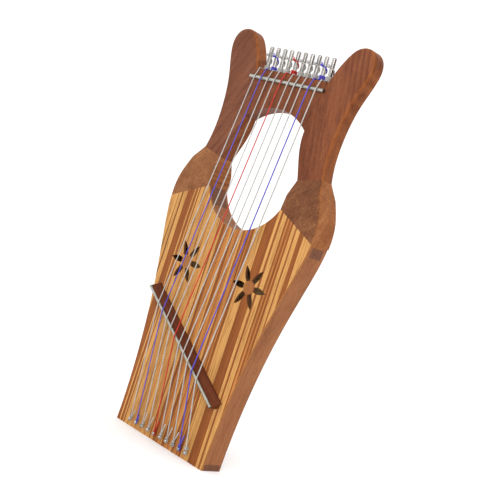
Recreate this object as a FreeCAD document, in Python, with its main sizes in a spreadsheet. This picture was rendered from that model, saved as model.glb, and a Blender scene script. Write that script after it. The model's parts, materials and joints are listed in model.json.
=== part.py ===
import FreeCAD, Part
import math
import os

from FreeCAD import Placement, Rotation, Vector

# A ten-string lyre standing on its flat bottom. X runs to the right as seen from the front, Y
# runs from the soundboard to the back with y = 0 half way between them, and Z runs up from the
# bottom face.

STRINGS = 10
PETALS = 6

doc = FreeCAD.newDocument("Lyre")

# ---------------------------------------------------------------- driving dimensions, mm
DIMENSIONS = [
    ("body_depth", 30.0, "soundboard face to back face"),
    ("frame_depth", 24.0, "ribs and blocks between the soundboard and the back"),
    ("board_depth", 18.0, "stock that the arms, crossbar and tenons are cut from"),
    ("skin_depth", 3.0, "soundboard and back panel"),
    ("bottom_half", 71.5, "half width at the bottom"),
    ("rib_width", 9.0, "thickness of a side rib"),
    ("sill_height", 6.8, "end of the bottom block below each rib"),
    ("block_height", 18.0, "bottom block between the ribs"),
    ("tenon_low", 242.5, "lower face of the through tenon"),
    ("tenon_high", 253.0, "upper face of the through tenon"),
    ("upper_block_low", 228.0, "lower face of the upper block"),
    ("seam_outer", 255.5, "outer end of the soundboard's top seam"),
    ("seam_inner", 279.0, "inner end of the soundboard's top seam"),
    ("opening_half", 55.0, "half width of the opening at the soundboard seam"),
    ("opening_low", 243.6, "lowest point of the opening"),
    ("opening_top", 379.5, "highest point of the opening"),
    ("opening_top_half", 44.5, "half width of the opening under the crossbar"),
    ("opening_shoulder", 363.5, "height of the opening's top corners"),
    ("crease_half", 58.0, "half width of the opening where arm and shoulder meet"),
    ("crease_height", 312.5, "height of that inner crease"),
    ("waist_half", 90.0, "half width at the outer waist"),
    ("waist_height", 320.0, "height of the outer waist"),
    ("bar_top", 418.0, "top face of the crossbar"),
    ("bar_half", 51.0, "half length of the crossbar along its top"),
    ("horn_height", 460.0, "top of the horns"),
    ("edge_round", 3.5, "rounding of the arms"),
    ("back_round", 2.4, "rounding of the back's long edges"),
    ("rosette_offset", 49.5, "rosette centre from the centre line"),
    ("rosette_height", 192.0, "height of the rosette centres"),
    ("petal_tip", 24.3, "rosette centre to petal tip"),
    ("petal_root", 7.3, "rosette centre to petal root"),
    ("nut_height", 408.0, "height of the nut rod"),
    ("nut_radius", 2.0, "nut rod"),
    ("nut_length", 108.4, "nut rod"),
    ("nut_seat", 0.4, "depth that the nut rod is let into the crossbar"),
    ("bridge_length", 168.0, "bridge"),
    ("bridge_width", 8.8, "bridge at its foot"),
    ("bridge_crown", 3.6, "bridge at its top"),
    ("bridge_height", 9.8, "bridge without the saddle"),
    ("bridge_tilt", 31.3, "degrees that the bridge falls to the right"),
    ("saddle_radius", 1.5, "saddle rod"),
    ("saddle_seat", 0.3, "depth that the saddle rod is let into the bridge"),
    ("pin_radius", 2.5, "tuning pin"),
    ("pin_length", 44.0, "tuning pin"),
    ("pin_showing", 27.7, "tuning pin above the crossbar"),
    ("pin_eye", 10.8, "string hole below the pin's top"),
    ("pin_lean", 6.8, "degrees that the tuning pins lean forwards"),
    ("pin_pitch", 10.1, "spacing of the tuning pins and the nut notches"),
    ("pin_clearance", 0.05, "radial running clearance of a pin in its hole"),
    ("hitch_radius", 1.0, "hitch pin shank"),
    ("hitch_head", 1.9, "hitch pin head"),
    ("hitch_pitch", 10.4, "spacing of the hitch pins"),
    ("hitch_height", 7.8, "height of the hitch pins"),
    ("thin_string", 0.55, "radius of the thinnest string, on the left"),
    ("thick_string", 0.7, "radius of the thickest string, on the right"),
]

sheet = doc.addObject("Spreadsheet::Sheet", "Dims")
for row, (alias, value, meaning) in enumerate(DIMENSIONS, start=1):
    sheet.set(f"A{row}", meaning)
    sheet.set(f"B{row}", str(value))
    sheet.setAlias(f"B{row}", alias)
doc.recompute()


def dim(alias):
    return float(sheet.get(alias))


# ---------------------------------------------------------------- outlines in the front view
# Every point is (x, z) on the right-hand side; side = -1 mirrors it to the left.
FLANK = [
    (dim("bottom_half"), 0.0),
    (75.0, 78.0),
    (87.8, 162.0),
    (99.8, 212.0),
    (108.2, 256.0),
    (106.8, 281.0),
    (98.5, 302.0),
    (dim("waist_half"), dim("waist_height")),
]
# From the waist up the arm, over the horn and down to the top face of the crossbar.
ARM_FLANK = [
    (dim("waist_half"), dim("waist_height")),
    (86.2, 340.0),
    (86.2, 370.0),
    (92.2, 403.0),
    (101.4, 430.0),
    (102.8, 446.0),
    (97.4, 455.9),
    (86.5, dim("horn_height")),
    (75.2, 457.0),
    (65.8, 446.8),
    (57.2, 431.5),
    (53.4, 422.5),
    (dim("bar_half"), dim("bar_top")),
]
ARM_INSIDE = [
    (dim("crease_half"), dim("crease_height")),
    (52.6, 327.0),
    (46.2, 346.0),
    (dim("opening_top_half"), dim("opening_shoulder")),
]


def flat(point, side=1):
    """A front-view point as a sketch vector."""
    return Vector(side * point[0], point[1], 0)


def line(start, end):
    return Part.LineSegment(start, end)


def closed_outline(points):
    return [line(points[i - 1], points[i]) for i in range(len(points))]


def spline(points, side=1):
    curve = Part.BSplineCurve()
    curve.interpolate([flat(point, side) for point in points])
    return curve


def height_parameter(curve, height):
    """The parameter where a rising curve reaches a height."""
    low, high = curve.FirstParameter, curve.LastParameter
    for _ in range(60):
        middle = (low + high) / 2
        if curve.value(middle).y < height:
            low = middle
        else:
            high = middle
    return (low + high) / 2


def flank(low, high, side=1, inset=0.0):
    """The body's outer edge between two heights, moved inwards by the inset."""
    curve = spline([(x - inset, z) for x, z in FLANK], side)
    curve.segment(height_parameter(curve, low), height_parameter(curve, high))
    return curve


def flank_x(height):
    curve = spline(FLANK)
    return curve.value(height_parameter(curve, height)).x


# ---------------------------------------------------------------- modelling helpers
def new_body(name):
    body = doc.addObject("PartDesign::Body", name)
    body.Label = name
    return body


def origin_plane(body, role):
    return next(item for item in body.Origin.OriginFeatures if item.Role == role)


def sketch_on(body, name, geometry, role="XZ_Plane", offset=None):
    sketch = body.newObject("Sketcher::SketchObject", f"{body.Name}_{name}")
    sketch.AttachmentSupport = [(origin_plane(body, role), "")]
    sketch.MapMode = "FlatFace"
    if offset is not None:
        sketch.AttachmentOffset = offset
    sketch.addGeometry(geometry, False)
    return sketch


def pad_across(body, name, geometry, depth_cell):
    """A board of the given depth, laid out on the body's own centre plane."""
    pad = body.newObject("PartDesign::Pad", f"{body.Name}_{name}")
    pad.Profile = sketch_on(body, f"{name}_outline", geometry)
    pad.setExpression("Length", f"Dims.{depth_cell}")
    pad.SideType = "Symmetric"
    return pad


def rod_seat(body, name, radius_cell, start, length):
    """A round groove along X for a rod to lie in."""
    seat = body.newObject("PartDesign::SubtractiveCylinder", f"{body.Name}_{name}")
    seat.setExpression("Radius", f"Dims.{radius_cell}")
    seat.Height = length
    seat.Placement = Placement(start, Rotation(Vector(0, 1, 0), 90))
    return seat


def pocket_through(body, name, sketch):
    pocket = body.newObject("PartDesign::Pocket", f"{body.Name}_{name}")
    pocket.Profile = sketch
    pocket.Type = "ThroughAll"
    pocket.SideType = "Symmetric"
    return pocket


def round_edges(body, name, radius_cell, chosen):
    """Fillets the edges of the body's last feature for which chosen(edge) is true."""
    doc.recompute()
    base = body.Tip
    names = [f"Edge{n}" for n, edge in enumerate(base.Shape.Edges, start=1) if chosen(edge)]
    fillet = body.newObject("PartDesign::Fillet", f"{body.Name}_{name}")
    fillet.Base = (base, names)
    fillet.setExpression("Radius", f"Dims.{radius_cell}")
    return fillet


def feature(name, shape):
    item = doc.addObject("Part::Feature", name)
    item.Label = name
    item.Shape = shape
    return item


# ---------------------------------------------------------------- the sound box
def skin_outline():
    """The soundboard and the back share one outline, cut away round the opening."""
    low, high = 0.0, dim("seam_outer")
    corner = (flank_x(high), high)
    inner = (dim("opening_half"), dim("seam_inner"))
    return [
        line(flat(FLANK[0], -1), flat(FLANK[0])),
        flank(low, high),
        line(flat(corner), flat(inner)),
        Part.Arc(flat(inner), Vector(0, dim("opening_low"), 0), flat(inner, -1)),
        line(flat(inner, -1), flat(corner, -1)),
        flank(low, high, -1),
    ]


def petal(centre, angle):
    """One pointed petal of a rosette: two arcs from a blunt root to the tip."""
    root, tip = dim("petal_root"), dim("petal_tip")
    root_half, widest, belly = 2.6, 3.4, 12.8
    turn = Rotation(Vector(0, 0, 1), angle)
    tip_point, low_root, high_root, low_belly, high_belly = (
        centre + turn.multVec(Vector(along, across, 0))
        for along, across in (
            (tip, 0), (root, -root_half), (root, root_half), (belly, -widest), (belly, widest)
        )
    )
    return [
        line(low_root, high_root),
        Part.Arc(high_root, high_belly, tip_point),
        Part.Arc(tip_point, low_belly, low_root),
    ]


def hitch_positions():
    row_centre = -2.3
    middle = (STRINGS - 1) / 2
    return [row_centre + (i - middle) * dim("hitch_pitch") for i in range(STRINGS)]


def make_soundboard():
    board = new_body("soundboard")
    board.setExpression("Placement.Base.y", "(Dims.skin_depth - Dims.body_depth) / 2")
    pad_across(board, "sheet", skin_outline(), "skin_depth")
    holes = []
    for side in (1, -1):
        centre = flat((dim("rosette_offset"), dim("rosette_height")), side)
        for k in range(PETALS):
            holes += petal(centre, k * 360 / PETALS)
    for x in hitch_positions():
        centre = Vector(x, dim("hitch_height"), 0)
        holes.append(Part.Circle(centre, Vector(0, 0, 1), dim("hitch_radius")))
    pocket_through(board, "holes", sketch_on(board, "holes_outline", holes))
    return board


def make_back_panel():
    panel = new_body("back_panel")
    panel.setExpression("Placement.Base.y", "(Dims.body_depth - Dims.skin_depth) / 2")
    pad_across(panel, "sheet", skin_outline(), "skin_depth")
    rear = dim("skin_depth") / 2

    def rear_flank(edge):
        on_rear = all(abs(v.Point.y - rear) < 0.01 for v in edge.Vertexes)
        return on_rear and edge.Length > 200 and abs(edge.CenterOfMass.x) > 50

    round_edges(panel, "rounding", "back_round", rear_flank)
    return panel


def make_rib(name, side):
    """A side rib that stands on the bottom block and is slotted for the through tenon."""
    low, high, inset = dim("sill_height"), dim("tenon_high"), dim("rib_width")
    outer, inner = flank(low, high, side), flank(low, high, side, inset)
    rib = new_body(name)
    sides = [
        outer,
        inner,
        line(outer.StartPoint, inner.StartPoint),
        line(outer.EndPoint, inner.EndPoint),
    ]
    pad_across(rib, "board", sides, "frame_depth")
    half_slot, past = dim("board_depth") / 2, 5.0
    slot = [
        Vector(-half_slot, dim("tenon_low"), 0),
        Vector(half_slot, dim("tenon_low"), 0),
        Vector(half_slot, dim("tenon_high") + past, 0),
        Vector(-half_slot, dim("tenon_high") + past, 0),
    ]
    pocket_through(rib, "slot", sketch_on(rib, "slot_outline", closed_outline(slot), "YZ_Plane"))
    return rib


def make_bottom_block():
    """A sill across the full width, raised between the ribs to hold the hitch pins."""
    block = new_body("bottom_block")
    sill, top, inset = dim("sill_height"), dim("block_height"), dim("rib_width")
    right, left = flank(0, sill), flank(0, sill, -1)
    shoulder = flank_x(sill) - inset
    corners = [
        right.EndPoint,
        Vector(shoulder, sill, 0),
        Vector(shoulder, top, 0),
        Vector(-shoulder, top, 0),
        Vector(-shoulder, sill, 0),
        left.EndPoint,
    ]
    edges = [line(left.StartPoint, right.StartPoint), right, left]
    edges += [line(start, end) for start, end in zip(corners, corners[1:])]
    pad_across(block, "board", edges, "frame_depth")
    bores = [
        Part.Circle(Vector(x, dim("hitch_height"), 0), Vector(0, 0, 1), dim("hitch_radius"))
        for x in hitch_positions()
    ]
    front = Placement(Vector(0, 0, dim("frame_depth") / 2), Rotation())
    pocket = block.newObject("PartDesign::Pocket", "bottom_block_bores")
    pocket.Profile = sketch_on(block, "bores_outline", bores, offset=front)
    pocket.Length = HITCH_DEPTH - dim("skin_depth")
    return block


def make_upper_block():
    """The block under the opening, with a tenon that runs out through both sides."""
    block = new_body("upper_block")
    half, low = dim("opening_half"), dim("upper_block_low")
    inner = (half, dim("seam_inner"))
    core = [
        line(Vector(-half, low, 0), Vector(half, low, 0)),
        line(Vector(half, low, 0), flat(inner)),
        Part.Arc(flat(inner), Vector(0, dim("opening_low"), 0), flat(inner, -1)),
        line(flat(inner, -1), Vector(-half, low, 0)),
    ]
    pad_across(block, "core", core, "frame_depth")
    low, high = dim("tenon_low"), dim("tenon_high")
    half_wall = half - 1.0
    for side, label in ((1, "right"), (-1, "left")):
        edge = flank(low, high, side)
        tenon = [
            edge,
            line(edge.EndPoint, Vector(side * half_wall, high, 0)),
            line(Vector(side * half_wall, high, 0), Vector(side * half_wall, low, 0)),
            line(Vector(side * half_wall, low, 0), edge.StartPoint),
        ]
        pad_across(block, f"tenon_{label}", tenon, "board_depth")
    return block


def make_shoulder(name, side):
    """A full-depth block beside the opening, carved down to the arm's depth at its top."""
    shoulder = new_body(f"{name}_block")
    waist = (dim("waist_half"), dim("waist_height"))
    crease = (dim("crease_half"), dim("crease_height"))
    inner = (dim("opening_half"), dim("seam_inner"))

    def outline(outer_low, bottom):
        edge = flank(outer_low, dim("waist_height"), side)
        corners = [edge.StartPoint] + bottom + [flat(inner, side), flat(crease, side), edge.EndPoint]
        return [edge] + [line(start, end) for start, end in zip(corners, corners[1:])]

    foot = [flat((dim("opening_half"), dim("tenon_high")), side)]
    pad_across(shoulder, "core", outline(dim("tenon_high"), foot), "frame_depth")
    pad_across(shoulder, "cheeks", outline(dim("seam_outer"), []), "body_depth")

    # The carved slope starts below the seam with the arm and runs parallel to it.
    along = Vector(waist[0] - crease[0], 0, waist[1] - crease[1])
    rise = along.z / along.x
    face, arm_face = dim("body_depth") / 2, dim("board_depth") / 2
    slope, past = 17.0, 20.0
    seam_on_axis = crease[1] - rise * crease[0]
    for sign, label in ((-1, "front"), (1, "back")):
        wedge = [
            Vector(sign * face, seam_on_axis - slope, 0),
            Vector(sign * arm_face, seam_on_axis, 0),
            Vector(sign * arm_face, seam_on_axis + past, 0),
            Vector(sign * (face + past), seam_on_axis + past, 0),
            Vector(sign * (face + past), seam_on_axis - slope, 0),
        ]
        sketch = sketch_on(shoulder, f"{label}_wedge", closed_outline(wedge), "YZ_Plane")
        pocket = pocket_through(shoulder, f"{label}_slope", sketch)
        pocket.UseCustomVector = True
        pocket.Direction = Vector(side, 0, rise)
    return fade_rounding(name, shoulder)


def fade_rounding(name, block):
    """Rounds the block's outer edges: full at the waist, fading out at the soundboard."""
    doc.recompute()
    low, high = dim("seam_outer"), dim("waist_height")

    def radius_at(vertex):
        return 0.3 + (dim("edge_round") - 0.3) * min(1, (vertex.Point.z - low) / (high - low))

    rounded = []
    for number, edge in enumerate(block.Shape.Edges, start=1):
        ends = sorted(edge.Vertexes, key=lambda vertex: edge.Curve.parameter(vertex.Point))
        off_centre = min(abs(vertex.Point.y) for vertex in ends) > dim("board_depth") / 2 - 0.1
        outside = min(abs(vertex.Point.x) for vertex in ends) > dim("waist_half") - 1
        climbs = abs(ends[0].Point.z - ends[1].Point.z) > 5
        if off_centre and outside and climbs and min(v.Point.z for v in ends) > low - 1:
            rounded.append((number, radius_at(ends[0]), radius_at(ends[1])))
    fillet = doc.addObject("Part::Fillet", name)
    fillet.Label = name
    fillet.Base = block
    fillet.Edges = rounded
    return fillet


# ---------------------------------------------------------------- the yoke
def make_arm(name, side):
    """One arm with its horn, cut to a mitre against the crossbar."""
    arm = new_body(name)
    flank_curve, inside = spline(ARM_FLANK, side), spline(ARM_INSIDE, side)
    edges = [
        flank_curve,
        line(flank_curve.EndPoint, inside.EndPoint),
        inside,
        line(inside.StartPoint, flank_curve.StartPoint),
    ]
    pad_across(arm, "board", edges, "board_depth")

    def outer_edge(edge):
        """The long edges on the front and back faces that follow the flank and the horn."""
        highest = edge.BoundBox.ZMax
        return highest > dim("horn_height") - 1 and edge.Length > 50

    round_edges(arm, "rounding", "edge_round", outer_edge)
    rod_seat(arm, "nut_seat", "nut_radius", nut_start(), dim("nut_length"))
    return arm


def pin_row(pitch_cell, row_centre):
    middle = (STRINGS - 1) / 2
    return [row_centre + (i - middle) * dim(pitch_cell) for i in range(STRINGS)]


PIN_ROW = pin_row("pin_pitch", 0.5)
HITCH_DEPTH = 15.0
LEAN = Rotation(Vector(1, 0, 0), dim("pin_lean"))
PIN_AXIS = LEAN.multVec(Vector(0, 0, 1))


def make_crossbar():
    bar = new_body("crossbar")
    top, half = dim("bar_top"), dim("bar_half")
    corner = (dim("opening_top_half"), dim("opening_shoulder"))
    outline = [
        line(Vector(-half, top, 0), Vector(half, top, 0)),
        line(Vector(half, top, 0), flat(corner)),
        Part.Arc(flat(corner), Vector(0, dim("opening_top"), 0), flat(corner, -1)),
        line(flat(corner, -1), Vector(-half, top, 0)),
    ]
    pad_across(bar, "board", outline, "board_depth")
    rod_seat(bar, "nut_seat", "nut_radius", nut_start(), dim("nut_length"))

    # The pin holes are bored along the leaning pins, starting just above the top face.
    above = 2.0
    radius = dim("pin_radius") + dim("pin_clearance")
    bores = [Part.Circle(Vector(x, 0, 0), Vector(0, 0, 1), radius) for x in PIN_ROW]
    start = Placement(Vector(0, 0, top) + PIN_AXIS * above, LEAN)
    pocket = bar.newObject("PartDesign::Pocket", "crossbar_pin_holes")
    pocket.Profile = sketch_on(bar, "pin_holes_outline", bores, "XY_Plane", start)
    pocket.setExpression("Length", f"Dims.pin_length - Dims.pin_showing + {above + 1.0}")
    return bar


def nut_depth():
    """Depth of the nut rod's axis."""
    return -dim("board_depth") / 2 - dim("nut_radius") + dim("nut_seat")


def nut_start():
    """The left end of the nut rod's axis."""
    return Vector(-1.4 - dim("nut_length") / 2, nut_depth(), dim("nut_height"))


def make_nut_rod():
    rod = doc.addObject("Part::Cylinder", "nut_rod")
    rod.Label = "nut_rod"
    rod.setExpression("Radius", "Dims.nut_radius")
    rod.setExpression("Height", "Dims.nut_length")
    rod.Placement = Placement(nut_start(), Rotation(Vector(0, 1, 0), 90))
    return rod


# ---------------------------------------------------------------- bridge and saddle
FRONT = -dim("body_depth") / 2
BRIDGE_FOOT = Vector(-5.8, FRONT, 111.4)
BRIDGE_TURN = Rotation(Vector(0, 1, 0), dim("bridge_tilt"))
SADDLE_ACROSS = -2.9


def make_bridge():
    """A bar across the strings; its section is sheer below and sloped above."""
    bridge = new_body("bridge")
    half, crown, height = dim("bridge_width") / 2, dim("bridge_crown"), dim("bridge_height")
    toe = 1.5
    section = [
        Vector(0, -half, 0),
        Vector(0, half, 0),
        Vector(-toe, half, 0),
        Vector(-height, crown - half, 0),
        Vector(-height, -half, 0),
    ]
    pad = bridge.newObject("PartDesign::Pad", "bridge_bar")
    pad.Profile = sketch_on(bridge, "section", closed_outline(section), "YZ_Plane")
    pad.setExpression("Length", "Dims.bridge_length")
    pad.SideType = "Symmetric"
    left_end = Vector(-dim("bridge_length") / 2, saddle_depth(), SADDLE_ACROSS)
    rod_seat(bridge, "saddle_seat", "saddle_radius", left_end, dim("bridge_length"))
    bridge.Placement = Placement(BRIDGE_FOOT, BRIDGE_TURN)
    return bridge


def saddle_depth():
    return -(dim("bridge_height") + dim("saddle_radius") - dim("saddle_seat"))


def saddle_point(along):
    """A point on the saddle rod's axis, measured along the bridge from its middle."""
    return BRIDGE_FOOT + BRIDGE_TURN.multVec(Vector(along, saddle_depth(), SADDLE_ACROSS))


def make_saddle():
    rod = doc.addObject("Part::Cylinder", "bridge_saddle")
    rod.Label = "bridge_saddle"
    rod.setExpression("Radius", "Dims.saddle_radius")
    rod.setExpression("Height", "Dims.bridge_length")
    along_x = Rotation(Vector(0, 1, 0), 90)
    rod.Placement = Placement(saddle_point(-dim("bridge_length") / 2), BRIDGE_TURN * along_x)
    return rod


# ---------------------------------------------------------------- inner braces
def make_brace(name, length, width, height, foot, turn):
    """A bar glued inside the box with its ends bevelled away from the board it stiffens."""
    brace = new_body(name)
    half, bevel = length / 2, 12.0
    profile = [
        Vector(-half, 0, 0),
        Vector(half, 0, 0),
        Vector(half, height / 3, 0),
        Vector(half - bevel, height, 0),
        Vector(bevel - half, height, 0),
        Vector(-half, height / 3, 0),
    ]
    pad = brace.newObject("PartDesign::Pad", f"{name}_bar")
    pad.Profile = sketch_on(brace, "side", closed_outline(profile), "XY_Plane")
    pad.Length = width
    pad.SideType = "Symmetric"
    brace.Placement = Placement(foot, turn)
    return brace


# ---------------------------------------------------------------- pins
def make_tuning_pin(number, x):
    pin = new_body(f"tuning_pin_{number:02d}")
    radius, length, showing = dim("pin_radius"), dim("pin_length"), dim("pin_showing")
    chamfer, dome = 0.8, 1.9
    low, high = showing - length, showing
    shoulder = high - dome
    arc_mid = dome * math.sin(math.radians(45))
    half_section = [
        line(Vector(0, low, 0), Vector(radius - chamfer, low, 0)),
        line(Vector(radius - chamfer, low, 0), Vector(radius, low + chamfer, 0)),
        line(Vector(radius, low + chamfer, 0), Vector(radius, shoulder, 0)),
        Part.Arc(
            Vector(radius, shoulder, 0),
            Vector(radius - dome + arc_mid, shoulder + arc_mid, 0),
            Vector(radius - dome, high, 0),
        ),
        line(Vector(radius - dome, high, 0), Vector(0, high, 0)),
        line(Vector(0, high, 0), Vector(0, low, 0)),
    ]
    turned = pin.newObject("PartDesign::Revolution", f"{pin.Name}_turned")
    sketch = sketch_on(pin, "half_section", half_section)
    turned.Profile = sketch
    turned.ReferenceAxis = (sketch, ["V_Axis"])
    turned.Angle = 360.0
    eye_radius = 0.8
    eye = [Part.Circle(Vector(0, high - dim("pin_eye"), 0), Vector(0, 0, 1), eye_radius)]
    pocket_through(pin, "eye", sketch_on(pin, "eye_outline", eye))
    pin.Placement = Placement(Vector(x, 0, dim("bar_top")), LEAN)
    return pin


def string_radius(index):
    thin, thick = dim("thin_string"), dim("thick_string")
    return thin + (thick - thin) * index / (STRINGS - 1)


def make_winding(number, x, radius):
    """The turns of one string round the foot of its pin, as a plain sleeve."""
    name = f"string_winding_{number:02d}"
    start, turns = 0.9, 4
    outer = doc.addObject("Part::Cylinder", f"{name}_outer")
    outer.Radius = dim("pin_radius") + 2 * radius
    outer.Height = turns * 2 * radius
    inner = doc.addObject("Part::Cylinder", f"{name}_inner")
    inner.setExpression("Radius", "Dims.pin_radius")
    inner.Height = turns * 2 * radius
    sleeve = doc.addObject("Part::Cut", name)
    sleeve.Label = name
    sleeve.Base, sleeve.Tool = outer, inner
    foot = Vector(x, 0, dim("bar_top")) + PIN_AXIS * start
    sleeve.Placement = Placement(foot, LEAN)
    return sleeve


def make_hitch_pins():
    """Ten small round-headed pins, each driven through the soundboard into its block."""
    shank, head = dim("hitch_radius"), dim("hitch_head")
    showing, crown = 3.3, 1.3
    ball = (head ** 2 + crown ** 2) / (2 * crown)
    rim = math.degrees(math.asin((ball - crown) / ball))
    forwards = Vector(0, -1, 0)
    pins = []
    for x in hitch_positions():
        seat = Vector(x, FRONT + HITCH_DEPTH, dim("hitch_height"))
        centre = Vector(x, FRONT - showing + ball - crown, dim("hitch_height"))
        stem = Part.makeCylinder(shank, HITCH_DEPTH + showing + crown / 3, seat, forwards)
        cap = Part.makeSphere(ball, centre, forwards, rim, 90, 360)
        pins.append(stem.fuse(cap).removeSplitter())
    return feature("hitch_pins", Part.makeCompound(pins))


# ---------------------------------------------------------------- strings
def rounded_path(points, radii):
    """Straight runs joined by tangent arcs; radii[i] rounds the inner point i + 1."""
    edges, start = [], points[0]
    for before, corner, after, radius in zip(points, points[1:], points[2:], radii):
        back = (before - corner).normalize()
        ahead = (after - corner).normalize()
        half_angle = back.getAngle(ahead) / 2
        reach = radius / math.tan(half_angle)
        enter, leave = corner + back * reach, corner + ahead * reach
        bisector = (back + ahead).normalize()
        centre = corner + bisector * (radius / math.sin(half_angle))
        edges.append(Part.LineSegment(start, enter).toShape())
        edges.append(Part.Arc(enter, centre - bisector * radius, leave).toShape())
        start = leave
    edges.append(Part.LineSegment(start, points[-1]).toShape())
    return Part.Wire(edges)


def make_string(index):
    """A string from the loop on its hitch pin, over saddle, nut and crossbar, to its pin."""
    radius = string_radius(index)
    gap = 0.02
    hitch_x = hitch_positions()[index]
    loop_depth = FRONT - 1.8
    loop_radius = dim("hitch_radius") + radius + gap
    hitch = Vector(hitch_x, loop_depth, dim("hitch_height") + loop_radius)

    saddle_spacing = 11.86
    first_on_saddle = -57.2
    on_saddle = saddle_point(first_on_saddle + index * saddle_spacing)
    saddle = on_saddle - Vector(0, dim("saddle_radius") + radius + gap + 0.1, 0)

    nut_x = -1.5 + (index - (STRINGS - 1) / 2) * dim("pin_pitch")
    nut = Vector(nut_x, nut_depth() - dim("nut_radius") - radius - gap - 0.15, dim("nut_height"))

    bar_face = -dim("board_depth") / 2
    clear = radius + 0.35
    edge = Vector(nut_x + 0.1, bar_face - clear + 0.25, dim("bar_top") + clear)
    winding_gap = 3.5
    pin_side = PIN_ROW[index] - dim("pin_radius") - radius
    finish = Vector(pin_side, -winding_gap, dim("bar_top") + clear + 0.25)

    path = rounded_path([hitch, saddle, nut, edge, finish], [2.5, 3.0, 1.2])
    start_direction = (saddle - hitch).normalize()
    profile = Part.Wire(Part.Circle(hitch, start_direction, radius).toShape())
    run = path.makePipeShell([profile], True, False)
    loop = Part.makeTorus(
        loop_radius, radius, Vector(hitch_x, loop_depth, dim("hitch_height")), Vector(0, 1, 0)
    )
    return feature(f"string_{index + 1:02d}", run.fuse(loop))


# ---------------------------------------------------------------- build, check and write
nodes = [
    make_soundboard(),
    make_back_panel(),
    make_rib("side_rib_left", -1),
    make_rib("side_rib_right", 1),
    make_bottom_block(),
    make_upper_block(),
    make_shoulder("shoulder_left", -1),
    make_shoulder("shoulder_right", 1),
    make_arm("arm_left", -1),
    make_arm("arm_right", 1),
    make_crossbar(),
    make_nut_rod(),
    make_bridge(),
    make_saddle(),
    make_brace(
        "soundboard_brace", 118.0, 8.0, 9.0,
        Vector(BRIDGE_FOOT.x, FRONT + dim("skin_depth"), BRIDGE_FOOT.z), BRIDGE_TURN,
    ),
    make_brace(
        "back_brace", 144.0, 8.0, 8.0,
        Vector(0, -FRONT - dim("skin_depth"), 150.0), Rotation(Vector(0, 0, 1), 180),
    ),
    make_hitch_pins(),
]
for index in range(STRINGS):
    nodes.append(make_tuning_pin(index + 1, PIN_ROW[index]))
for index in range(STRINGS):
    nodes.append(make_winding(index + 1, PIN_ROW[index], string_radius(index)))
for index in range(STRINGS):
    nodes.append(make_string(index))

doc.recompute()

for item in doc.Objects:
    if {"Invalid", "Error"} & set(item.State):
        raise RuntimeError(f"{item.Name} did not compute: {item.State}")
for node in nodes:
    if node.Shape.isNull() or not node.Shape.isValid():
        raise RuntimeError(f"{node.Label} has no valid shape")

os.makedirs("parts", exist_ok=True)
for node in nodes:
    node.Shape.exportStep(os.path.join("parts", f"{node.Label}.step"))
    box = node.Shape.BoundBox
    print(f"{node.Label:20s} {len(node.Shape.Solids):2d} solids {node.Shape.Volume:10.1f} mm3  "
          f"x {box.XMin:7.1f}..{box.XMax:7.1f}  y {box.YMin:6.1f}..{box.YMax:6.1f}  "
          f"z {box.ZMin:6.1f}..{box.ZMax:6.1f}")
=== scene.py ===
import json
import math

import bpy
from mathutils import Matrix, Vector


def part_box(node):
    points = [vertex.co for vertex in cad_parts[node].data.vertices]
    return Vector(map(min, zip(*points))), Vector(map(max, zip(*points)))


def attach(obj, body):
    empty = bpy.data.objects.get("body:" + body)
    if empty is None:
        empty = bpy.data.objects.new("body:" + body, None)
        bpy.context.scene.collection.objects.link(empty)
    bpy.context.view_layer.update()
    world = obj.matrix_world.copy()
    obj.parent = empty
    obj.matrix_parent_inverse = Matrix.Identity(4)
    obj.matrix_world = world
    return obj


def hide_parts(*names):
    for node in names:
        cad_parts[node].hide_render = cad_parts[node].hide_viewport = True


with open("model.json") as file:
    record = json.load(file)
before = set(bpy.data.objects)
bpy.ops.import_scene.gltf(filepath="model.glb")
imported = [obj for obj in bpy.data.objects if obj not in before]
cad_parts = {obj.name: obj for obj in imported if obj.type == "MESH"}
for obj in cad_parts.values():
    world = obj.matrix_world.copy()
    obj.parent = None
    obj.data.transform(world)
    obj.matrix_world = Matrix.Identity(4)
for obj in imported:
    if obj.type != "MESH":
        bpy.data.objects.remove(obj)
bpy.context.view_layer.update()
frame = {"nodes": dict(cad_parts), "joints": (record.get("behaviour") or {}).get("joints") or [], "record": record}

MM = 0.001
STRINGS = 10
BLUE_STRINGS = (2, 9)
RED_STRINGS = (5,)
BODY_HALF_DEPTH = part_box("back_panel")[1].y
BOARD_THICKNESS = 3 * MM

# Tuning pins. Heights are measured along the pin from the top of the crossbar.
PIN_RADIUS = 2.5 * MM
WINDING_FOOT = 0.9 * MM
WINDING_TURNS = 4
STEPS_PER_TURN = 28
EYE_HEIGHT = 16.9 * MM
CLIMB_TURNS = 0.75
CLIMB_STEPS = 24

# Hitch pins, with the length in mm and the sideways lean of the cut tail at each.
HITCH_HEAD_RADIUS = 1.9 * MM
HITCH_LOOP_DEPTH = 1.8 * MM
HITCH_TAILS = (
    (8, 0.5), (5, 0.3), (13, 0.2), (12, 0.25), (11, 0.22),
    (12, 0.2), (13, 0.3), (12, 0.35), (12, 0.22), (5, -0.6),
)

TUBE_SIDES = 12
KNOT_STEPS = 72
TIGHT_KNOT = 0.7  # size of a knot that is pulled tight, as a share of the string's radius


# ---------------------------------------------------------------- node helpers
BUMP_DISTANCE = 0.1 * MM
FACING = 0.7  # share of the normal along X that makes a face count as an end


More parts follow.
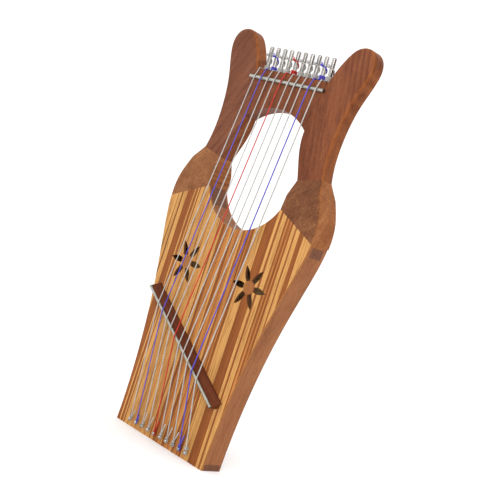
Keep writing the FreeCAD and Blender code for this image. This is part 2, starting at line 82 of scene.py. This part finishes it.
class Graph:
    """Builds one procedural material, node by node, round its Principled shader."""

    def __init__(self, name):
        self.material = bpy.data.materials.new(name)
        self.material.use_nodes = True
        self.tree = self.material.node_tree
        self.shader = self.tree.nodes["Principled BSDF"]

    def node(self, kind, inputs=None, **settings):
        made = self.tree.nodes.new(kind)
        for key, value in settings.items():
            setattr(made, key, value)
        for key, value in (inputs or {}).items():
            self.feed(made.inputs[key], value)
        return made

    def feed(self, socket, value):
        if isinstance(value, bpy.types.NodeSocket):
            self.tree.links.new(value, socket)
        else:
            socket.default_value = value

    def place(self, turn=(0, 0, 0), scale=(1, 1, 1), shift=(0, 0, 0)):
        """The object's own coordinates in metres, turned (in degrees) and stretched."""
        source = self.node("ShaderNodeTexCoord").outputs["Object"]
        first = self.node("ShaderNodeMapping", {
            "Vector": source,
            "Location": shift,
            "Rotation": [math.radians(angle) for angle in turn],
        })
        return self.node(
            "ShaderNodeMapping", {"Vector": first.outputs["Vector"], "Scale": scale}
        ).outputs["Vector"]

    def axis(self, vector, name):
        return self.node("ShaderNodeSeparateXYZ", {"Vector": vector}).outputs[name]

    def normal(self):
        """The surface's direction in the object's own frame."""
        return self.node("ShaderNodeTexCoord").outputs["Normal"]

    def at_ends(self):
        """One where the surface faces to the left or right, zero elsewhere."""
        sideways = self.math("ABSOLUTE", self.axis(self.normal(), "X"))
        return self.math("GREATER_THAN", sideways, FACING)

    def distance(self, first, second):
        """How far the point (first, second) is from the origin."""
        squares = [self.math("MULTIPLY", value, value) for value in (first, second)]
        return self.math("SQRT", self.math("ADD", *squares))

    def math(self, operation, first, second=0.0):
        return self.node(
            "ShaderNodeMath", {0: first, 1: second}, operation=operation
        ).outputs["Value"]

    def centred_sum(self, *weighted):
        """One half, plus how far each value is from one half times its weight."""
        total = 0.5
        for value, weight in weighted:
            away = self.math("SUBTRACT", value, 0.5)
            total = self.math("ADD", total, self.math("MULTIPLY", away, weight))
        return total

    def noise(self, vector, scale, detail, roughness=0.55):
        return self.node("ShaderNodeTexNoise", {
            "Vector": vector,
            "Scale": scale,
            "Detail": detail,
            "Roughness": roughness,
        }).outputs["Fac"]

    def ramp(self, factor, stops, interpolation="LINEAR"):
        made = self.node("ShaderNodeValToRGB", {"Fac": factor})
        ramp = made.color_ramp
        ramp.interpolation = interpolation
        while len(ramp.elements) < len(stops):
            ramp.elements.new(1.0)
        for element, (position, colour) in zip(ramp.elements, stops):
            element.position = position
            element.color = (*colour, 1.0)
        return made.outputs["Color"]

    def remap(self, value, low, high, new_low=0.0, new_high=1.0):
        return self.node("ShaderNodeMapRange", {
            "Value": value,
            "From Min": low,
            "From Max": high,
            "To Min": new_low,
            "To Max": new_high,
        }).outputs["Result"]

    def mix(self, factor, first, second, blend="MIX"):
        made = self.node("ShaderNodeMix", data_type="RGBA", blend_type=blend)
        self.feed(made.inputs["Factor"], factor)
        colours = [socket for socket in made.inputs if socket.type == "RGBA"]
        for socket, value in zip(colours, (first, second)):
            self.feed(socket, (*value, 1.0) if isinstance(value, tuple) else value)
        return next(socket for socket in made.outputs if socket.type == "RGBA")

    def finish(self, colour, roughness, height=None, bump=0.0, **constants):
        """Feeds the shader. Constants go to its own sockets, with _ for a space."""
        self.feed(self.shader.inputs["Base Color"], colour)
        self.feed(self.shader.inputs["Roughness"], roughness)
        if height is not None:
            self.feed(self.shader.inputs["Normal"], self.node("ShaderNodeBump", {
                "Height": height, "Strength": bump, "Distance": BUMP_DISTANCE,
            }).outputs["Normal"])
        for name, value in constants.items():
            self.shader.inputs[name.replace("_", " ")].default_value = value
        return self.material


def srgb(red, green, blue):
    """A display colour, 0 to 255, as linear light."""
    def linear(value):
        value = value / 255
        return value / 12.92 if value <= 0.04045 else ((value + 0.055) / 1.055) ** 2.4
    return (linear(red), linear(green), linear(blue))


# ---------------------------------------------------------------- wood
WOOD_SPECULAR = 0.1
TONE_STOPS = (0.24, 0.5, 0.76)
STREAKING = 0.55
# Orange tones of the painted highlight on the rounded edges, and how strongly it is laid on.
EDGE_HIGHLIGHT_TONES = (srgb(112, 56, 20), srgb(168, 98, 44))
EDGE_HIGHLIGHT_STRENGTH = 0.45


def wood(name, tones, lean=0, tilt=0, pith=(0.03, 0.02), figure=0.2, pitch=9 * MM,
         mottle=0.0, pores=0.4, gloss=0.42, sides=None, rounding=0.985, inside=None):
    """Open-grained wood with three tones, dark to light. The fibres run up, turned by lean
    and tilt degrees. The growth rings lie round a pith at (x, y) metres, pitch apart, and
    figure is their strength. Other tones may be given to the faces seen edge on (sides, from
    where the normal's share along Y falls to rounding) and to those that face the front
    (inside, for a panel seen from within)."""
    g = Graph(name)
    turn = (tilt, -lean, 0)
    upright = g.place(turn, shift=(-pith[0], -pith[1], 0))
    x, y = g.axis(upright, "X"), g.axis(upright, "Y")
    radius = g.distance(x, y)
    drift = g.noise(g.place(turn, (1, 1, 0.2)), 24, detail=3)
    phase = g.math("ADD", g.math("MULTIPLY", radius, 2 * math.pi / pitch),
                   g.math("MULTIPLY", drift, 14))
    rings = g.math("SINE", phase)
    bands = g.math("POWER", g.remap(rings, -1, 1), 0.6)
    patches = g.remap(g.noise(g.place(turn, (1, 1, 0.4)), 20, detail=2), 0.4, 0.62)
    bands = g.math("ADD", g.math("MULTIPLY", g.math("SUBTRACT", bands, 0.5), patches), 0.5)
    streaks = g.noise(g.place(turn, (1, 1, 0.07)), 420, detail=7, roughness=0.66)
    broad = g.noise(g.place(turn, (1, 1, 0.12)), 62, detail=4)
    speckle = g.noise(g.place(turn, (1, 1, 0.6)), 520, detail=4, roughness=0.7)
    tone = g.centred_sum(
        (bands, figure), (streaks, STREAKING), (broad, 0.5), (speckle, 0.25 + mottle)
    )
    base = g.ramp(tone, list(zip(TONE_STOPS, tones)))
    towards_back = g.axis(g.normal(), "Y")
    facing = g.math("ABSOLUTE", towards_back)
    if inside:
        seen_within = g.math("LESS_THAN", towards_back, -0.5)
        base = g.mix(seen_within, base, g.ramp(tone, list(zip(TONE_STOPS, inside))))
    if sides:
        turned_away = g.remap(facing, rounding, 0.35)
        base = g.mix(turned_away, base, g.ramp(tone, list(zip(TONE_STOPS, sides))))
        # A painted highlight in orange tones on the rounded edges, where the front turns into the sides.
        edge = g.math("MULTIPLY", g.remap(facing, rounding, rounding - 0.2),
                      g.remap(facing, 0.0, 0.7))
        edge_highlight_colour = g.ramp(tone, list(zip((TONE_STOPS[0], TONE_STOPS[-1]), EDGE_HIGHLIGHT_TONES)))
        base = g.mix(g.math("MULTIPLY", edge, EDGE_HIGHLIGHT_STRENGTH), base, edge_highlight_colour)
    pore = g.remap(g.noise(g.place(turn, (1, 1, 0.045)), 1300, detail=2), 0.6, 0.68)
    base = g.mix(g.math("MULTIPLY", pore, pores), base, tuple(0.45 * v for v in tones[0]))
    roughness = g.remap(streaks, 0.3, 0.7, gloss - 0.06, gloss + 0.1)
    height = g.math("SUBTRACT", streaks, g.math("MULTIPLY", pore, 0.8))
    return g.finish(base, roughness, height, bump=0.25, Specular_IOR_Level=WOOD_SPECULAR)


END_RINGS = 3600  # growth rings of the end grain, in radians per metre


def end_grain(name, dark, light, walls):
    """A block whose two ends are dark, with close growth rings and speckled pores, and whose
    walls show fibres that run from end to end."""
    g = Graph(name)
    bent = g.noise(g.place(), 30, detail=1)
    phase = g.math("ADD", g.math("MULTIPLY", g.axis(g.place(turn=(25, 0, 0)), "Z"), END_RINGS),
                   g.math("MULTIPLY", bent, 9))
    speckle = g.noise(g.place(), 900, detail=4, roughness=0.7)
    tone = g.centred_sum((g.remap(g.math("SINE", phase), -1, 1), 0.22), (speckle, 1.4))
    base = g.ramp(tone, [(0.25, dark), (0.75, light)])
    fibres = g.noise(g.place(scale=(0.07, 1, 1)), 420, detail=6, roughness=0.66)
    wall = g.ramp(fibres, list(zip((0.3, 0.5, 0.7), walls)))
    base = g.mix(g.at_ends(), wall, base)
    return g.finish(base, g.remap(speckle, 0.3, 0.7, 0.5, 0.65), speckle, bump=0.3,
                    Specular_IOR_Level=WOOD_SPECULAR)


# Strips of the soundboard from left to right: where each ends, in mm from the middle at
# STRIP_LEVEL, and its wood. The strips lean to the left by STRIP_LEAN.
TAN, HONEY, BROWN, DARK = "tan", "honey", "brown", "dark"
STRIPS = [
    (-97, TAN), (-96, DARK), (-91, TAN), (-90, DARK), (-83.5, TAN), (-74, BROWN), (-72.5, TAN),
    (-69, BROWN), (-66.5, TAN), (-65.5, BROWN), (-60, TAN), (-59, DARK), (-53, TAN),
    (-51.5, HONEY), (-47, TAN), (-46, BROWN), (-39, TAN), (-37.5, HONEY), (-30, TAN),
    (-28.5, HONEY), (-21, TAN), (-20, BROWN), (-15.5, TAN), (-11.5, BROWN), (-8.5, HONEY),
    (-7, BROWN), (-2, HONEY), (0, TAN), (4, BROWN), (9, HONEY), (10.5, BROWN), (14, HONEY),
    (16, TAN), (19, BROWN), (24, HONEY), (25.5, BROWN), (28, HONEY), (31, BROWN), (34, TAN),
    (35, HONEY), (43.5, TAN), (56, BROWN), (59.5, TAN), (61.5, BROWN), (67.5, TAN),
    (70, BROWN), (72, HONEY), (74.5, BROWN), (76.5, HONEY), (79.5, BROWN), (84, TAN),
    (85, BROWN), (91, TAN), (97, BROWN), (112, TAN),
]
STRIP_COLOURS = {
    TAN: srgb(188, 139, 80),
    HONEY: srgb(174, 114, 60),
    BROWN: srgb(132, 75, 35),
    DARK: srgb(98, 56, 28),
}
STRIP_LEAN = 1 / 36
STRIP_SPAN = 112.0  # mm from the middle to where the outermost strip ends
STRIP_LEVEL = 230.0  # mm, the height at which the strips were measured
STRIP_WOBBLE = 1.2 * MM
RIPPLE_PITCH = 1.5 * MM
ROSETTE_CENTRES = ((-49.5, 192.0), (49.5, 192.0))  # mm, as are the two radii
ROSETTE_RADIUS = 26.0
HUB_RADIUS = 7.1


def striped_soundboard():
    """Strips of light and brown wood glued side by side, in a board of several layers."""
    g = Graph("soundboard_wood")
    here = g.place()
    x, z = g.axis(here, "X"), g.axis(here, "Z")
    lean = g.math("MULTIPLY", g.math("SUBTRACT", z, STRIP_LEVEL * MM), STRIP_LEAN)
    across = g.math("ADD", x, lean)
    bend = g.math("SUBTRACT", g.noise(here, 9, detail=1), 0.5)
    wobble = g.math("MULTIPLY", bend, STRIP_WOBBLE)
    position = g.remap(g.math("ADD", across, wobble), -STRIP_SPAN * MM, STRIP_SPAN * MM)

    def strip_ramp(strips, start):
        stops = []
        for end, kind in strips:
            stops.append((start, STRIP_COLOURS[kind]))
            start = (end + STRIP_SPAN) / (2 * STRIP_SPAN)
        return g.ramp(position, stops, "CONSTANT")

    half = len(STRIPS) // 2
    half_way = (STRIPS[half - 1][0] + STRIP_SPAN) / (2 * STRIP_SPAN)
    left = strip_ramp(STRIPS[:half], 0.0)
    right = strip_ramp(STRIPS[half:], half_way)
    strips = g.mix(g.math("GREATER_THAN", position, half_way), left, right)

    def fibre(stretch):
        """Coordinates drawn out along the leaning fibres."""
        return g.place((0, math.degrees(math.atan(STRIP_LEAN)), 0), (1, 1, stretch))

    lines = g.noise(fibre(0.03), 520, detail=5, roughness=0.75)
    ripple = g.math("MULTIPLY", across, 2 * math.pi / RIPPLE_PITCH)
    ripple = g.math("ADD", ripple, g.math("MULTIPLY", g.noise(fibre(0.12), 55, detail=2), 14))
    tone = g.centred_sum(
        (lines, 1.5), (g.remap(g.math("SINE", ripple), -1, 1), 0.3),
        (g.noise(fibre(0.06), 70, detail=2), 0.9),
    )
    shade = g.ramp(tone, [
        (0.2, (0.6, 0.52, 0.45)), (0.45, (0.9, 0.87, 0.83)), (0.6, (1, 1, 1)),
        (0.85, (1.16, 1.16, 1.12)),
    ])
    base = g.mix(1.0, strips, shade, "MULTIPLY")
    dash = g.remap(g.noise(fibre(0.05), 1100, detail=1), 0.6, 0.68)
    base = g.mix(g.math("MULTIPLY", dash, 0.45), base, STRIP_COLOURS[DARK])

    # Each rosette has a plain hub and dark petal walls.
    rosette, hub = 0.0, 0.0
    for centre in ROSETTE_CENTRES:
        offset_x = g.math("SUBTRACT", x, centre[0] * MM)
        offset_z = g.math("SUBTRACT", z, centre[1] * MM)
        radius = g.distance(offset_x, offset_z)
        rosette = g.math("ADD", rosette, g.math("LESS_THAN", radius, ROSETTE_RADIUS * MM))
        hub = g.math("ADD", hub, g.math("LESS_THAN", radius, HUB_RADIUS * MM))
    hub_tone = g.mix(1.0, srgb(146, 92, 52), g.ramp(lines, [
        (0.35, (0.85, 0.82, 0.8)), (0.65, (1.05, 1.05, 1.05)),
    ]), "MULTIPLY")
    base = g.mix(g.math("MULTIPLY", hub, 0.85), base, hub_tone)

    # On its edge the board shows its layers, with a dark glue line under each.
    sideways = g.math("LESS_THAN", g.math("ABSOLUTE", g.axis(g.normal(), "Y")), 0.5)
    front = -BODY_HALF_DEPTH
    depth = g.remap(g.axis(here, "Y"), front, front + BOARD_THICKNESS)
    layers = g.ramp(depth, [
        (0.0, STRIP_COLOURS[HONEY]), (0.3, STRIP_COLOURS[DARK]), (0.58, STRIP_COLOURS[HONEY]),
        (0.86, STRIP_COLOURS[DARK]),
    ], "CONSTANT")
    base = g.mix(sideways, base, g.mix(0.25, layers, shade, "MULTIPLY"))
    charred = g.math("MULTIPLY", sideways, rosette)
    base = g.mix(charred, base, srgb(112, 72, 48))
    return g.finish(base, g.remap(lines, 0.3, 0.7, 0.36, 0.5), lines, bump=0.15,
                    Specular_IOR_Level=WOOD_SPECULAR)


# ---------------------------------------------------------------- metal and nylon
def polished_metal(name, colour, roughness, scratches, painted_shade_ends=False, painted_reflection=0.0):
    """Metal with fine scratches, stretched along Z when scratches is below one. Long dark streaks run along Z too,
    a painted reflection, as strong as the last argument says."""
    g = Graph(name)
    fine = g.noise(g.place(scale=(1, 1, scratches)), 2500, detail=3)
    smudge = g.noise(g.place(), 160, detail=2)
    rough = g.math("ADD", g.remap(fine, 0.3, 0.7, roughness, roughness + 0.08),
                   g.remap(smudge, 0.4, 0.7, 0.0, 0.08))
    tint = g.ramp(smudge, [(0.3, tuple(0.8 * v for v in colour)), (0.6, colour)])
    # Painted reflection: long dark streaks along Z that darken the tint.
    painted_reflection_mask = g.remap(g.noise(g.place(scale=(1, 1, 0.02)), 600, detail=1), 0.5, 0.6)
    tint = g.mix(g.math("MULTIPLY", painted_reflection_mask, painted_reflection), tint, tuple(0.22 * v for v in colour))
    # Painted shade: the ends that face along X are made darker grey.
    if painted_shade_ends:
        tint = g.mix(g.at_ends(), tint, srgb(104, 102, 98))
    return g.finish(tint, rough, fine, bump=0.06, Metallic=1.0)


def nylon(name, colour, shade, clarity):
    """Slightly cloudy nylon, as clear as clarity says."""
    g = Graph(name)
    flow = g.noise(g.place(scale=(1, 1, 0.2)), 700, detail=2)
    tint = g.ramp(flow, [(0.3, shade), (0.65, colour)])
    return g.finish(
        tint, g.remap(flow, 0.3, 0.7, 0.24, 0.38), flow, bump=0.05,
        Transmission_Weight=clarity, IOR=1.53, Specular_IOR_Level=0.3,
    )


# Tones of each wood, dark to light.
WALNUT = (srgb(66, 28, 12), srgb(108, 59, 35), srgb(138, 82, 50))
DULL_WALNUT = (srgb(72, 36, 20), srgb(102, 58, 38), srgb(126, 78, 53))
WALNUT_EDGE = (srgb(78, 36, 14), srgb(116, 63, 31), srgb(146, 86, 46))
RAIL = (srgb(106, 60, 29), srgb(139, 87, 53), srgb(162, 108, 70))
MOTTLED = (srgb(66, 34, 16), srgb(104, 62, 37), srgb(134, 88, 56))
SHOULDER_SIDE = (srgb(98, 50, 18), srgb(134, 80, 42), srgb(160, 105, 62))
PALE_SHOULDER = (srgb(86, 46, 22), srgb(124, 78, 46), srgb(152, 103, 66))
BRIDGE = (srgb(58, 24, 9), srgb(89, 43, 23), srgb(112, 62, 38))
SPRUCE = (srgb(148, 112, 74), srgb(184, 148, 102), srgb(202, 170, 126))

MATERIALS = {
    "soundboard_wood": striped_soundboard(),
    "arm_wood_left": wood("arm_wood_left", DULL_WALNUT, lean=27, tilt=5, pith=(-0.14, 0.01),
                          figure=0.12, sides=WALNUT_EDGE),
    "arm_wood_right": wood("arm_wood_right", WALNUT, lean=-12, tilt=3, pith=(0.0, -0.02),
                           figure=0.16, pitch=7 * MM, sides=WALNUT_EDGE),
    "crossbar_wood": wood("crossbar_wood", WALNUT, lean=3, tilt=6, figure=0.08),
    "shoulder_wood_left": wood("shoulder_wood_left", PALE_SHOULDER, tilt=84,
                               pith=(-0.01, -0.235), figure=0.22, pitch=4.5 * MM,
                               sides=SHOULDER_SIDE, rounding=0.75),
    "shoulder_wood_right": wood("shoulder_wood_right", MOTTLED, lean=25, tilt=32,
                                figure=0.08, mottle=0.25, sides=SHOULDER_SIDE,
                                rounding=0.75),
    "rail_wood": wood("rail_wood", RAIL, figure=0.08, pores=0.3),
    "back_wood": wood("back_wood", RAIL, figure=0.14, pores=0.3, inside=SPRUCE),
    "block_wood": end_grain("block_wood", srgb(76, 42, 26), srgb(126, 84, 62), RAIL),
    "bridge_wood": wood("bridge_wood", BRIDGE, lean=121, figure=0.08, gloss=0.34),
    "brace_wood": wood("brace_wood", SPRUCE, lean=90, gloss=0.6, pores=0.1),
    "rod_metal": polished_metal("rod_metal", srgb(168, 168, 160), 0.36, 8.0, painted_shade_ends=True),
    "pin_metal": polished_metal("pin_metal", srgb(178, 174, 169), 0.1, 0.3, painted_reflection=0.7),
    "string_clear": nylon("string_clear", srgb(185, 181, 176), srgb(172, 168, 163), 0.2),
    "string_blue": nylon("string_blue", srgb(82, 74, 180), srgb(62, 55, 158), 0.05),
    "string_red": nylon("string_red", srgb(190, 36, 22), srgb(154, 22, 14), 0.05),
}


def string_slot(number):
    if number in BLUE_STRINGS:
        return "string_blue"
    if number in RED_STRINGS:
        return "string_red"
    return "string_clear"


def paint_nodes():
    """Gives every CAD node its material."""
    slots = {entry["node"]: entry["material_slot"] for entry in frame["record"]["subparts"]}
    own = {
        "arm_left": "arm_wood_left",
        "arm_right": "arm_wood_right",
        "crossbar": "crossbar_wood",
        "shoulder_left": "shoulder_wood_left",
        "shoulder_right": "shoulder_wood_right",
        "back_panel": "back_wood",
    }
    for name, node in frame["nodes"].items():
        node.data.materials.clear()
        node.data.materials.append(MATERIALS[own.get(name, slots[name])])


# ---------------------------------------------------------------- string ends
def tube(name, points, radius):
    """A round tube of nylon along a line of points, closed at both ends."""
    vertices, faces = [], []
    side = (points[1] - points[0]).orthogonal().normalized()
    for i, point in enumerate(points):
        ahead = (points[min(i + 1, len(points) - 1)] - points[max(i - 1, 0)]).normalized()
        side = (side - ahead * side.dot(ahead)).normalized()
        up = ahead.cross(side)
        for k in range(TUBE_SIDES):
            angle = 2 * math.pi * k / TUBE_SIDES
            vertices.append(point + (side * math.cos(angle) + up * math.sin(angle)) * radius)
    for i in range(len(points) - 1):
        for k in range(TUBE_SIDES):
            a, b = i * TUBE_SIDES + k, i * TUBE_SIDES + (k + 1) % TUBE_SIDES
            faces.append((a, b, b + TUBE_SIDES, a + TUBE_SIDES))
    faces.append(tuple(reversed(range(TUBE_SIDES))))
    faces.append(tuple(range(len(vertices) - TUBE_SIDES, len(vertices))))
    mesh = bpy.data.meshes.new(name)
    mesh.from_pydata(vertices, [], faces)
    mesh.update()
    for polygon in mesh.polygons:
        polygon.use_smooth = len(polygon.vertices) == 4
    made = bpy.data.objects.new(name, mesh)
    bpy.context.scene.collection.objects.link(made)
    return made


def dress(piece, slot, body):
    """Gives a piece the material named by its slot, and the body that it rides."""
    piece.data.materials.append(MATERIALS[slot])
    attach(piece, body)


def knot_points(centre, along, size):
    """A trefoil, the shape of a simple overhand knot pulled tight, stopped short of closing."""
    side = along.orthogonal().normalized()
    other = along.cross(side)
    points = []
    for k in range(KNOT_STEPS - 1):
        t = 2 * math.pi * k / KNOT_STEPS
        reach = 2 + math.cos(3 * t)
        points.append(
            centre
            + (side * math.cos(2 * t) + other * math.sin(2 * t)) * reach * size
            + along * math.sin(3 * t) * size * 1.3
        )
    return points


def pin_frame(number):
    """The foot of a tuning pin, its axis, and the directions to its right and its back."""
    joint = next(j for j in frame["joints"] if j["child"] == f"pin_{number:02d}")
    axis = Vector(joint["axis"]).normalized()
    right = Vector((1, 0, 0))
    return Vector(joint["pos_m"]), axis, right, axis.cross(right)


def string_radius(number):
    """Half the wall of the winding sleeve, whose wall is one string thick."""
    low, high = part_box(f"string_winding_{number:02d}")
    return ((high.x - low.x) / 2 - PIN_RADIUS) / 2


def make_winding(number):
    """The turns round the foot of the pin and the run up to its eye, with knot and tail."""
    foot, axis, right, back = pin_frame(number)
    radius = string_radius(number)
    reach = PIN_RADIUS + radius
    start = WINDING_FOOT + radius

    def on_pin(turn, height, extra=0.0):
        angle = math.pi - 2 * math.pi * turn
        outward = right * math.cos(angle) + back * math.sin(angle)
        return foot + axis * height + outward * (reach + extra)

    turns = [k / STEPS_PER_TURN for k in range(WINDING_TURNS * STEPS_PER_TURN)]
    points = [on_pin(turn, start + 2 * radius * turn) for turn in turns]
    coil_top = start + 2 * radius * WINDING_TURNS
    for k in range(CLIMB_STEPS):
        share = k / CLIMB_STEPS
        eased = share * share * (3 - 2 * share)
        height = coil_top + (EYE_HEIGHT - coil_top) * eased
        points.append(on_pin(WINDING_TURNS + CLIMB_TURNS * share, height, 0.06 * MM))
    eye = foot + axis * EYE_HEIGHT - back * (reach + 0.1 * MM)
    points.append(eye)
    coil = tube(f"winding_{number:02d}", points, radius)

    for piece in (coil, *make_pin_knot(number, eye)):
        dress(piece, string_slot(number), f"pin_{number:02d}")
    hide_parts(f"string_winding_{number:02d}")


def make_pin_knot(number, eye):
    """The knot in front of the pin's eye and the short tail above it. Neighbours lean in
    turn to the right and to the left."""
    _, axis, right, back = pin_frame(number)
    front = -back
    radius = string_radius(number)
    lean = 0.35 if number % 2 else -0.2
    centre = eye + front * (radius * 2.2) + axis * (0.4 * MM) - right * (0.8 * MM)
    along = (axis + right * lean - front * 0.2).normalized()
    points = knot_points(centre, along, radius * TIGHT_KNOT)
    knot = tube(f"pin_knot_{number:02d}", points, radius)
    base = centre + along * radius * 1.5
    length = MM if string_slot(number) == "string_clear" else 1.6 * MM
    tail = tube(f"pin_tail_{number:02d}", [
        base,
        base + (axis * 0.8 - right * (0.2 + 0.4 * lean) + front * 0.15) * length,
        base + (axis * 1.6 - right * (0.3 + lean) + front * 0.35) * length,
    ], radius)
    return knot, tail


def make_lead(number):
    """The last few millimetres of string between the crossbar's edge and its winding."""
    foot, axis, right, _ = pin_frame(number)
    radius = string_radius(number)
    _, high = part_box(f"string_{number:02d}")
    reach = PIN_RADIUS + radius
    start = Vector((foot.x - reach, high.y - 0.3 * MM, high.z - radius))
    end = foot + axis * (WINDING_FOOT + radius) - right * (reach + 0.02 * MM)
    lead = tube(f"string_lead_{number:02d}", [start, start.lerp(end, 0.5), end], radius)
    dress(lead, string_slot(number), "lyre_body")


def hitch_point(number):
    """Centre of a hitch pin, on the plane where the string is looped round it."""
    low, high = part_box("hitch_pins")
    pitch = (high.x - low.x - 2 * HITCH_HEAD_RADIUS) / (STRINGS - 1)
    x = low.x + HITCH_HEAD_RADIUS + (number - 1) * pitch
    return Vector((x, -BODY_HALF_DEPTH - HITCH_LOOP_DEPTH, (low.z + high.z) / 2))


def make_hitch_knot(number):
    """The knot above the hitch pin and the cut tail that stands away from it."""
    radius = string_radius(number)
    low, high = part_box(f"string_{number:02d}")
    pin = hitch_point(number)
    ahead = Vector((MM * (number - 5), low.y + radius, high.z * 0.2))
    along = (ahead - pin).normalized()
    along = (along + Vector((0, 0, 2))).normalized()
    is_last = number == STRINGS  # the last knot is larger and higher than the rest
    size = radius * (1.0 if is_last else TIGHT_KNOT)
    above = (4.8 if is_last else 3.4) * MM
    centre = pin + along * above + Vector((0.5 * MM, -0.4 * MM, 0))
    knot = tube(f"hitch_knot_{number:02d}", knot_points(centre, along, size), radius)
    length, lean = HITCH_TAILS[number - 1]
    length *= MM
    direction = Vector((lean, -0.12, 1)).normalized()
    base = centre + Vector((radius * 2, -radius, radius * 2))
    bow = Vector((0.04, -0.05, 0)) * length
    tail = tube(f"hitch_tail_{number:02d}", [
        base + direction * length * share + bow * math.sin(math.pi * share)
        for share in (0, 0.25, 0.5, 0.75, 1)
    ], radius)
    for piece in (knot, tail):
        dress(piece, string_slot(number), "lyre_body")


# ---------------------------------------------------------------- stage, light and camera
FLOOR_SIZE = 60
WORLD_STRENGTH = 1.2
LIGHT_TARGET = Vector((0, 0, 0.25))
CAMERA_PLACE = Vector((0.7208, -0.7699, 0.2603))
CAMERA_TARGET = Vector((0.0203, 0.0, 0.2281))
CAMERA_ROLL = math.radians(19.46)
SENSOR_WIDTH = 36.0
FOCAL_LENGTH = 70.68


def make_stage():
    """A white floor in a white studio."""
    bpy.ops.mesh.primitive_plane_add(size=FLOOR_SIZE, location=(0, 0, 0))
    floor = bpy.context.object
    floor.name = "floor"
    g = Graph("floor_paint")
    mottle = g.noise(g.place(), 3, detail=2)
    shade = g.ramp(mottle, [(0.3, (0.95, 0.95, 0.95)), (0.7, (0.97, 0.97, 0.97))])
    floor.data.materials.append(g.finish(shade, 0.9))

    world = bpy.data.worlds.new("studio")
    world.use_nodes = True
    background = world.node_tree.nodes["Background"]
    background.inputs["Color"].default_value = (1, 1, 1, 1)
    background.inputs["Strength"].default_value = WORLD_STRENGTH
    bpy.context.scene.world = world
    bpy.context.scene.view_settings.view_transform = "Standard"


def add_light(name, place, size, power):
    """A round lamp aimed at the middle of the lyre."""
    data = bpy.data.lights.new(name, "AREA")
    data.shape = "DISK"
    data.size = size
    data.energy = power
    light = bpy.data.objects.new(name, data)
    light.location = place
    aim = LIGHT_TARGET - Vector(place)
    light.rotation_euler = aim.to_track_quat("-Z", "Y").to_euler()
    bpy.context.scene.collection.objects.link(light)


def add_camera():
    """The lyre is seen from its right-hand front corner, level with it, and tilted."""
    data = bpy.data.cameras.new("camera")
    data.sensor_width = SENSOR_WIDTH
    data.lens = FOCAL_LENGTH
    camera = bpy.data.objects.new("camera", data)
    aim = (CAMERA_TARGET - CAMERA_PLACE).to_track_quat("-Z", "Y").to_matrix().to_4x4()
    roll = Matrix.Rotation(CAMERA_ROLL, 4, "Z")
    camera.matrix_world = Matrix.Translation(CAMERA_PLACE) @ aim @ roll
    bpy.context.scene.collection.objects.link(camera)
    bpy.context.scene.camera = camera


paint_nodes()
for number in range(1, STRINGS + 1):
    make_winding(number)
    make_lead(number)
    make_hitch_knot(number)
make_stage()
add_light("key", (1.0, -1.4, 0.9), size=1.1, power=13)
add_light("side", (-1.2, -1.4, 0.8), size=0.8, power=3)
add_camera()
